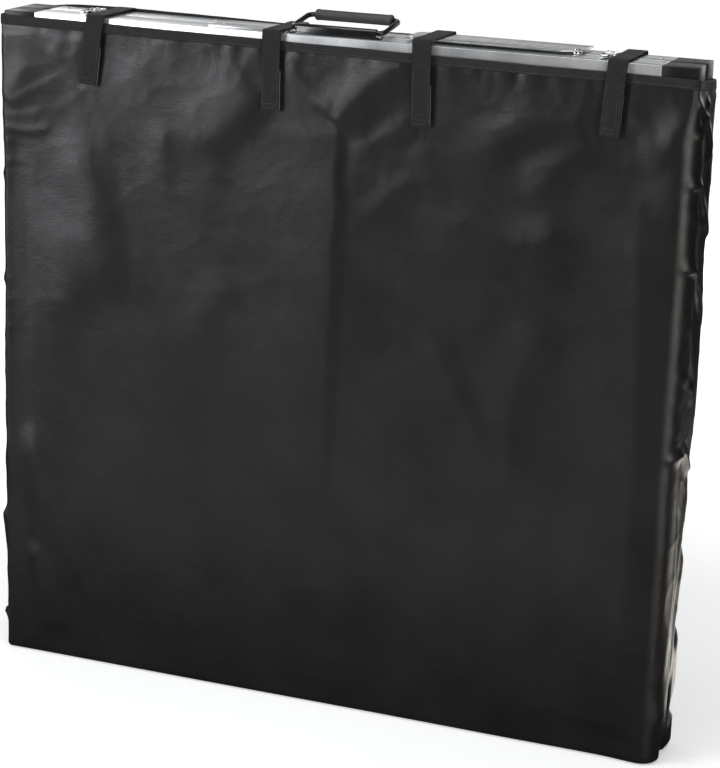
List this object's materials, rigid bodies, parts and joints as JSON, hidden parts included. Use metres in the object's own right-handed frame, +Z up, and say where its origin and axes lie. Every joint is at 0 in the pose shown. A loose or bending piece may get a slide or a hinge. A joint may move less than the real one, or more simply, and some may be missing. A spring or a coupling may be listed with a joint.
{
  "type": "folding solar module in carry bag",
  "caption": "Two hinged aluminium-framed solar panels folded face to face, with handle, draw latches and tilt leg, standing in an open cloth bag closed by four webbing straps.",
  "frame": {"origin": "centre of the part's bounding box in plan, on the surface that the bag stands on", "axes": "+Z up, -Y out of the bag's front, +X to the right seen from the front"},
  "size_m": [0.9294, 0.0973, 0.9136],
  "materials": {
    "bag_cloth": "woven polyester with a soft sheen",
    "binding_tape": "ribbed binding tape",
    "hook_and_loop": "matte pile",
    "webbing": "flat woven webbing",
    "frame_aluminium": "satin anodised",
    "cap_plastic": "moulded, slightly glossy",
    "pane_glass": "clear tempered glass",
    "solar_cells": "dark blue cells with silver busbars",
    "backsheet": "white film",
    "handle_black": "gloss black paint",
    "grip_rubber": "satin moulded grip",
    "bumper_rubber": "soft pads",
    "latch_chrome": "bright nickel plating",
    "steel_pins": "plain steel"
  },
  "bodies": {
    "bag": {"bag_front": "bag_cloth", "bag_back": "bag_cloth", "bag_left_gusset": "bag_cloth", "bag_right_gusset": "bag_cloth", "bag_bottom": "bag_cloth", "hem_binding": "binding_tape", "loop_patches": "hook_and_loop", "strap_roots": "webbing"},
    "front_module": {"front_top_rail": "frame_aluminium", "front_bottom_rail": "frame_aluminium", "front_left_rail": "frame_aluminium", "front_right_rail": "frame_aluminium", "front_corner_caps": "cap_plastic", "front_glass": "pane_glass", "front_cells": "solar_cells", "front_backsheet": "backsheet", "front_junction_box": "cap_plastic", "front_junction_lid": "cap_plastic", "hinge_front_leaves": "frame_aluminium", "hinge_pins": "steel_pins", "handle_bracket": "handle_black", "handle_screws": "handle_black", "latch_bases": "latch_chrome", "latch_pins": "steel_pins", "leg_stud": "latch_chrome", "reinforcing_plate": "frame_aluminium", "plate_rivets": "latch_chrome"},
    "rear_module": {"rear_top_rail": "frame_aluminium", "rear_bottom_rail": "frame_aluminium", "rear_left_rail": "frame_aluminium", "rear_right_rail": "frame_aluminium", "rear_corner_caps": "cap_plastic", "rear_glass": "pane_glass", "rear_cells": "solar_cells", "rear_backsheet": "backsheet", "rear_junction_box": "cap_plastic", "rear_junction_lid": "cap_plastic", "hinge_rear_leaves": "frame_aluminium", "bumpers": "bumper_rubber", "rear_rivets": "latch_chrome", "latch_keepers": "latch_chrome"},
    "carry_handle": {"handle_ring": "handle_black", "handle_grip": "grip_rubber"},
    "lever_left": {"latch_lever_left": "latch_chrome"},
    "hoop_left": {"latch_hoop_left": "latch_chrome"},
    "lever_right": {"latch_lever_right": "latch_chrome"},
    "hoop_right": {"latch_hoop_right": "latch_chrome"},
    "tilt_leg": {"prop_leg": "frame_aluminium", "leg_end_screw": "latch_chrome"},
    "strap_1": {"strap_top_1": "webbing"},
    "tail_1": {"strap_tail_1": "webbing"},
    "strap_2": {"strap_top_2": "webbing"},
    "tail_2": {"strap_tail_2": "webbing"},
    "strap_3": {"strap_top_3": "webbing"},
    "tail_3": {"strap_tail_3": "webbing"},
    "strap_4": {"strap_top_4": "webbing"},
    "tail_4": {"strap_tail_4": "webbing"}
  },
  "joints": [
    {"name": "module_lift", "type": "slide", "parent": "bag", "child": "front_module", "axis": [0, 0, 1], "range_m": [0, 0.9], "deforming": ["strap_top_1", "strap_top_2", "strap_top_3", "strap_top_4", "strap_tail_1", "strap_tail_2", "strap_tail_3", "strap_tail_4"]},
    {"name": "unfold", "type": "hinge", "parent": "front_module", "child": "rear_module", "pos_m": [0, 0, 0.005], "axis": [-1, 0, 0], "range_deg": [0, 180], "deforming": ["bag_front", "bag_back", "bag_left_gusset", "bag_right_gusset", "bag_bottom", "hem_binding", "loop_patches", "strap_roots"]},
    {"name": "handle_swing", "type": "hinge", "parent": "front_module", "child": "carry_handle", "pos_m": [-0.0025, -0.0215, 0.897], "axis": [1, 0, 0], "range_deg": [0, 100]},
    {"name": "leg_swing", "type": "hinge", "parent": "front_module", "child": "tilt_leg", "pos_m": [0.303, -0.0085, 0.894], "axis": [0, 0, 1], "range_deg": [0, 95]},
    {"name": "latch_left", "type": "hinge", "parent": "front_module", "child": "lever_left", "pos_m": [-0.346, -0.0105, 0.895], "axis": [-1, 0, 0], "range_deg": [0, 150]},
    {"name": "hoop_left_turn", "type": "hinge", "parent": "lever_left", "child": "hoop_left", "pos_m": [-0.346, -0.0195, 0.895], "axis": [-1, 0, 0], "range_deg": [-137, 0]},
    {"name": "latch_right", "type": "hinge", "parent": "front_module", "child": "lever_right", "pos_m": [0.3435, -0.0105, 0.895], "axis": [-1, 0, 0], "range_deg": [0, 150]},
    {"name": "hoop_right_turn", "type": "hinge", "parent": "lever_right", "child": "hoop_right", "pos_m": [0.3435, -0.0195, 0.895], "axis": [-1, 0, 0], "range_deg": [-137, 0]},
    {"name": "strap_1_open", "type": "hinge", "parent": "bag", "child": "strap_1", "pos_m": [-0.325, 0.0473, 0.8934], "axis": [-1, 0, 0], "range_deg": [0, 250]},
    {"name": "tail_1_turn", "type": "hinge", "parent": "strap_1", "child": "tail_1", "pos_m": [-0.325, -0.0478, 0.8934], "axis": [-1, 0, 0], "range_deg": [0, 91]},
    {"name": "strap_2_open", "type": "hinge", "parent": "bag", "child": "strap_2", "pos_m": [-0.08, 0.0473, 0.8934], "axis": [-1, 0, 0], "range_deg": [0, 250]},
    {"name": "tail_2_turn", "type": "hinge", "parent": "strap_2", "child": "tail_2", "pos_m": [-0.08, -0.0478, 0.8934], "axis": [-1, 0, 0], "range_deg": [0, 91]},
    {"name": "strap_3_open", "type": "hinge", "parent": "bag", "child": "strap_3", "pos_m": [0.1185, 0.0473, 0.8972], "axis": [-1, 0, 0], "range_deg": [0, 250]},
    {"name": "tail_3_turn", "type": "hinge", "parent": "strap_3", "child": "tail_3", "pos_m": [0.1185, -0.0478, 0.8972], "axis": [-1, 0, 0], "range_deg": [0, 91]},
    {"name": "strap_4_open", "type": "hinge", "parent": "bag", "child": "strap_4", "pos_m": [0.365, 0.0473, 0.8934], "axis": [-1, 0, 0], "range_deg": [0, 250]},
    {"name": "tail_4_turn", "type": "hinge", "parent": "strap_4", "child": "tail_4", "pos_m": [0.365, -0.0478, 0.8934], "axis": [-1, 0, 0], "range_deg": [0, 91]}
  ],
  "couplings": [
    {"joint": "hoop_left_turn", "follows": "latch_left", "ratio": -0.9067},
    {"joint": "hoop_right_turn", "follows": "latch_right", "ratio": -0.9067},
    {"joint": "tail_1_turn", "follows": "strap_1_open", "ratio": 0.36},
    {"joint": "tail_2_turn", "follows": "strap_2_open", "ratio": 0.36},
    {"joint": "tail_3_turn", "follows": "strap_3_open", "ratio": 0.36},
    {"joint": "tail_4_turn", "follows": "strap_4_open", "ratio": 0.36}
  ]
}
